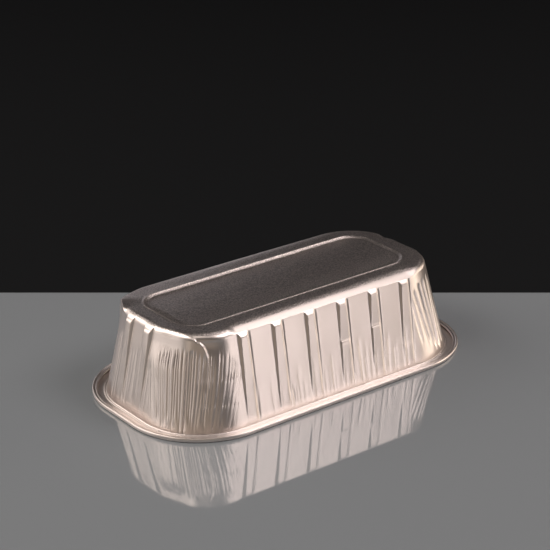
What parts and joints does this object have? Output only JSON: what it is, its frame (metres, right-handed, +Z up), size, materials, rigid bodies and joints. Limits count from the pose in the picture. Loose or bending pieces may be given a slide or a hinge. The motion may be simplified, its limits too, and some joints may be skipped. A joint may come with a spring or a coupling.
{
  "type": "foil container",
  "caption": "Loaf-shaped pressed aluminium foil container with ribbed walls, pleated corners, a sunk base panel and a curled rim, standing upside down.",
  "frame": {"origin": "on the surface that the rim rests on, under the middle of the tray's bounding box; the tray is upside down, as pictured", "axes": "+X along the length, +Y across the width, +Z up from the rim to the base; the mouth opens towards -Z"},
  "size_m": [0.22, 0.122, 0.054],
  "materials": {
    "aluminium_foil": "satin pressed foil, bright at folds, with a fine rolled grain"
  },
  "bodies": {
    "root": {"foil_tray": "aluminium_foil"}
  },
  "joints": []
}
